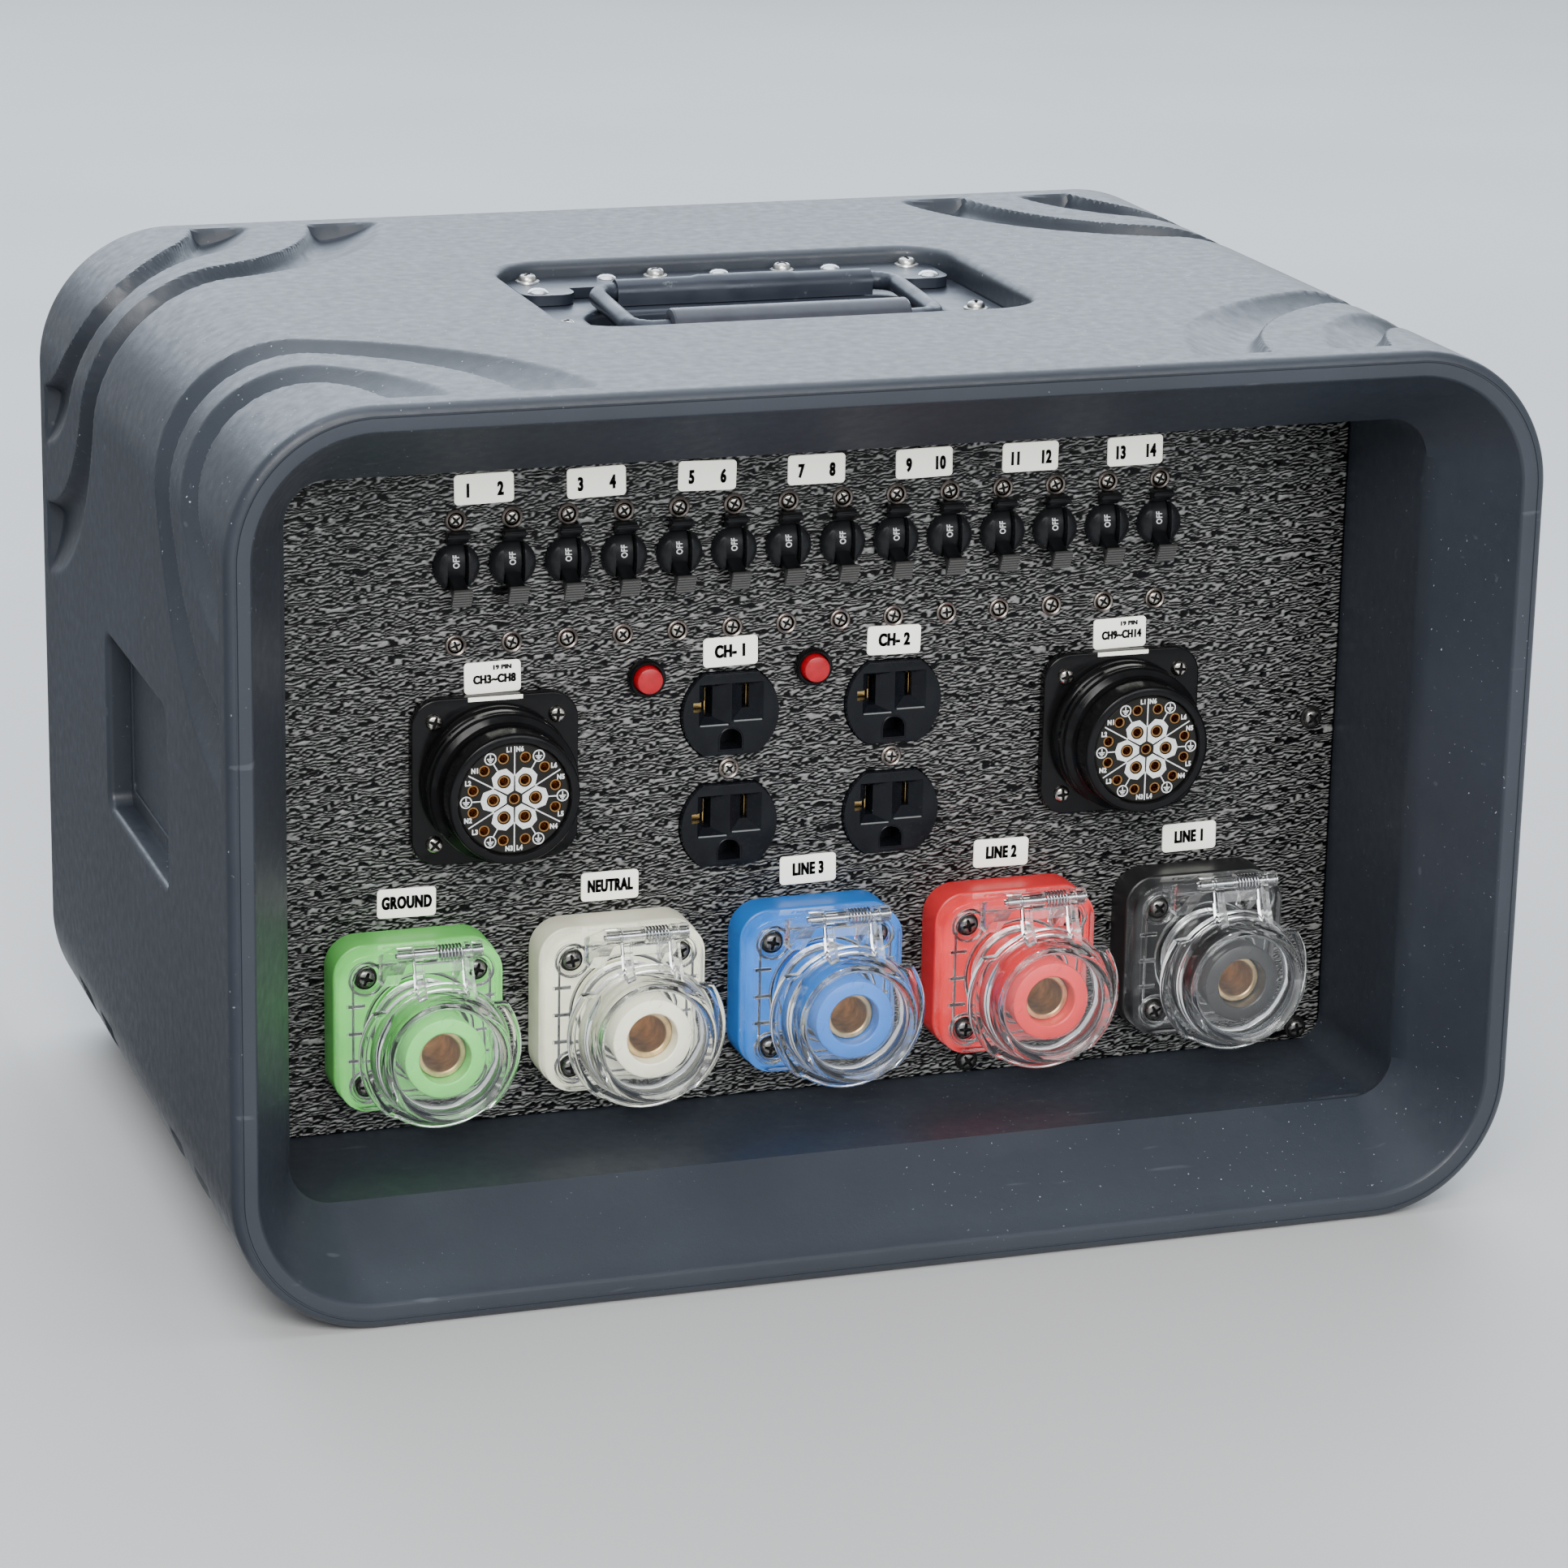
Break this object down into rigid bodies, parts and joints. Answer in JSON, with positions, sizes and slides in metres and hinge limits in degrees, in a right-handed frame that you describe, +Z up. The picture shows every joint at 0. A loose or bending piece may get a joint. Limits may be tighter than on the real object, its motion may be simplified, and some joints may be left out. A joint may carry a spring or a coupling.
{
  "type": "portable power distribution box",
  "caption": "Portable power distribution box: moulded case with a recessed panel of breakers, cam sockets with hinged clear lids, multipin and duplex outlets, and a fold-flat handle.",
  "frame": {"origin": "bottom centre of the case's footprint", "axes": "+Z up, -Y towards the user (the breaker panel faces -Y), +X to the user's right"},
  "size_m": [0.442, 0.307, 0.3005],
  "materials": {
    "case": "moulded dark blue-grey polyethylene with a fine grain",
    "panel": "glossy black wrinkle-textured coating on steel",
    "rear_panel": "satin black powder coat",
    "screws": "nickel-plated cross-recess screws",
    "breaker_body": "moulded black, satin",
    "toggle": "moulded black, ribbed end",
    "insulator_green": "satin coloured insulator",
    "insulator_white": "satin coloured insulator",
    "insulator_blue": "satin coloured insulator",
    "insulator_red": "satin coloured insulator",
    "insulator_black": "satin insulator",
    "clear_cover": "clear moulded polycarbonate",
    "contact": "turned brass",
    "hinge_steel": "bright steel pin",
    "multipin_shell": "glossy black anodised shell",
    "multipin_insert": "moulded black insulator",
    "outlet": "moulded black thermoplastic",
    "lamp": "translucent red lens in a black bezel",
    "handle_steel": "black-coated pressed steel",
    "grip": "smooth dark sleeve",
    "copper": "bare copper bar"
  },
  "bodies": {
    "root": {"case_shell": "case", "front_panel": "panel", "rear_panel": "rear_panel", "panel_screws": "screws", "breaker_bank": "breaker_body", "breaker_screws": "screws", "cam_base_1": "insulator_green", "cam_cover_frame_1": "clear_cover", "cam_contact_1": "contact", "cam_hinge_pin_1": "hinge_steel", "cam_base_2": "insulator_white", "cam_cover_frame_2": "clear_cover", "cam_contact_2": "contact", "cam_hinge_pin_2": "hinge_steel", "cam_base_3": "insulator_blue", "cam_cover_frame_3": "clear_cover", "cam_contact_3": "contact", "cam_hinge_pin_3": "hinge_steel", "cam_base_4": "insulator_red", "cam_cover_frame_4": "clear_cover", "cam_contact_4": "contact", "cam_hinge_pin_4": "hinge_steel", "cam_base_5": "insulator_black", "cam_cover_frame_5": "clear_cover", "cam_contact_5": "contact", "cam_hinge_pin_5": "hinge_steel", "multipin_shell_1": "multipin_shell", "multipin_insert_1": "multipin_insert", "duplex_outlet_1": "outlet", "pilot_lamp_1": "lamp", "multipin_shell_2": "multipin_shell", "multipin_insert_2": "multipin_insert", "duplex_outlet_2": "outlet", "pilot_lamp_2": "lamp", "handle_plate": "handle_steel", "handle_strap": "handle_steel", "line_busbar": "copper", "neutral_bar": "contact", "ground_bar": "copper"},
    "toggle_01": {"breaker_toggle_01": "toggle"},
    "toggle_02": {"breaker_toggle_02": "toggle"},
    "toggle_03": {"breaker_toggle_03": "toggle"},
    "toggle_04": {"breaker_toggle_04": "toggle"},
    "toggle_05": {"breaker_toggle_05": "toggle"},
    "toggle_06": {"breaker_toggle_06": "toggle"},
    "toggle_07": {"breaker_toggle_07": "toggle"},
    "toggle_08": {"breaker_toggle_08": "toggle"},
    "toggle_09": {"breaker_toggle_09": "toggle"},
    "toggle_10": {"breaker_toggle_10": "toggle"},
    "toggle_11": {"breaker_toggle_11": "toggle"},
    "toggle_12": {"breaker_toggle_12": "toggle"},
    "toggle_13": {"breaker_toggle_13": "toggle"},
    "toggle_14": {"breaker_toggle_14": "toggle"},
    "lid_1": {"cam_lid_1": "clear_cover"},
    "lid_2": {"cam_lid_2": "clear_cover"},
    "lid_3": {"cam_lid_3": "clear_cover"},
    "lid_4": {"cam_lid_4": "clear_cover"},
    "lid_5": {"cam_lid_5": "clear_cover"},
    "handle": {"handle_bail": "handle_steel", "handle_grip": "grip"}
  },
  "joints": [
    {"name": "breaker_01_throw", "type": "hinge", "parent": "root", "child": "toggle_01", "pos_m": [-0.12383, -0.0495, 0.2243], "axis": [-1, 0, 0], "range_deg": [0, 54]},
    {"name": "breaker_02_throw", "type": "hinge", "parent": "root", "child": "toggle_02", "pos_m": [-0.10477, -0.0495, 0.2243], "axis": [-1, 0, 0], "range_deg": [0, 54]},
    {"name": "breaker_03_throw", "type": "hinge", "parent": "root", "child": "toggle_03", "pos_m": [-0.08572, -0.0495, 0.2243], "axis": [-1, 0, 0], "range_deg": [0, 54]},
    {"name": "breaker_04_throw", "type": "hinge", "parent": "root", "child": "toggle_04", "pos_m": [-0.06667, -0.0495, 0.2243], "axis": [-1, 0, 0], "range_deg": [0, 54]},
    {"name": "breaker_05_throw", "type": "hinge", "parent": "root", "child": "toggle_05", "pos_m": [-0.04763, -0.0495, 0.2243], "axis": [-1, 0, 0], "range_deg": [0, 54]},
    {"name": "breaker_06_throw", "type": "hinge", "parent": "root", "child": "toggle_06", "pos_m": [-0.02857, -0.0495, 0.2243], "axis": [-1, 0, 0], "range_deg": [0, 54]},
    {"name": "breaker_07_throw", "type": "hinge", "parent": "root", "child": "toggle_07", "pos_m": [-0.00953, -0.0495, 0.2243], "axis": [-1, 0, 0], "range_deg": [0, 54]},
    {"name": "breaker_08_throw", "type": "hinge", "parent": "root", "child": "toggle_08", "pos_m": [0.00953, -0.0495, 0.2243], "axis": [-1, 0, 0], "range_deg": [0, 54]},
    {"name": "breaker_09_throw", "type": "hinge", "parent": "root", "child": "toggle_09", "pos_m": [0.02857, -0.0495, 0.2243], "axis": [-1, 0, 0], "range_deg": [0, 54]},
    {"name": "breaker_10_throw", "type": "hinge", "parent": "root", "child": "toggle_10", "pos_m": [0.04763, -0.0495, 0.2243], "axis": [-1, 0, 0], "range_deg": [0, 54]},
    {"name": "breaker_11_throw", "type": "hinge", "parent": "root", "child": "toggle_11", "pos_m": [0.06667, -0.0495, 0.2243], "axis": [-1, 0, 0], "range_deg": [0, 54]},
    {"name": "breaker_12_throw", "type": "hinge", "parent": "root", "child": "toggle_12", "pos_m": [0.08572, -0.0495, 0.2243], "axis": [-1, 0, 0], "range_deg": [0, 54]},
    {"name": "breaker_13_throw", "type": "hinge", "parent": "root", "child": "toggle_13", "pos_m": [0.10477, -0.0495, 0.2243], "axis": [-1, 0, 0], "range_deg": [0, 54]},
    {"name": "breaker_14_throw", "type": "hinge", "parent": "root", "child": "toggle_14", "pos_m": [0.12383, -0.0495, 0.2243], "axis": [-1, 0, 0], "range_deg": [0, 54]},
    {"name": "cam_lid_1_hinge", "type": "hinge", "parent": "root", "child": "lid_1", "pos_m": [-0.1406, -0.1005, 0.1065], "axis": [-1, 0, 0], "range_deg": [0, 110]},
    {"name": "cam_lid_2_hinge", "type": "hinge", "parent": "root", "child": "lid_2", "pos_m": [-0.0703, -0.1005, 0.1065], "axis": [-1, 0, 0], "range_deg": [0, 110]},
    {"name": "cam_lid_3_hinge", "type": "hinge", "parent": "root", "child": "lid_3", "pos_m": [0, -0.1005, 0.1065], "axis": [-1, 0, 0], "range_deg": [0, 110]},
    {"name": "cam_lid_4_hinge", "type": "hinge", "parent": "root", "child": "lid_4", "pos_m": [0.0703, -0.1005, 0.1065], "axis": [-1, 0, 0], "range_deg": [0, 110]},
    {"name": "cam_lid_5_hinge", "type": "hinge", "parent": "root", "child": "lid_5", "pos_m": [0.1406, -0.1005, 0.1065], "axis": [-1, 0, 0], "range_deg": [0, 110]},
    {"name": "handle_fold", "type": "hinge", "parent": "root", "child": "handle", "pos_m": [0, 0.0225, 0.2957], "axis": [-1, 0, 0], "range_deg": [0, 93]}
  ]
}
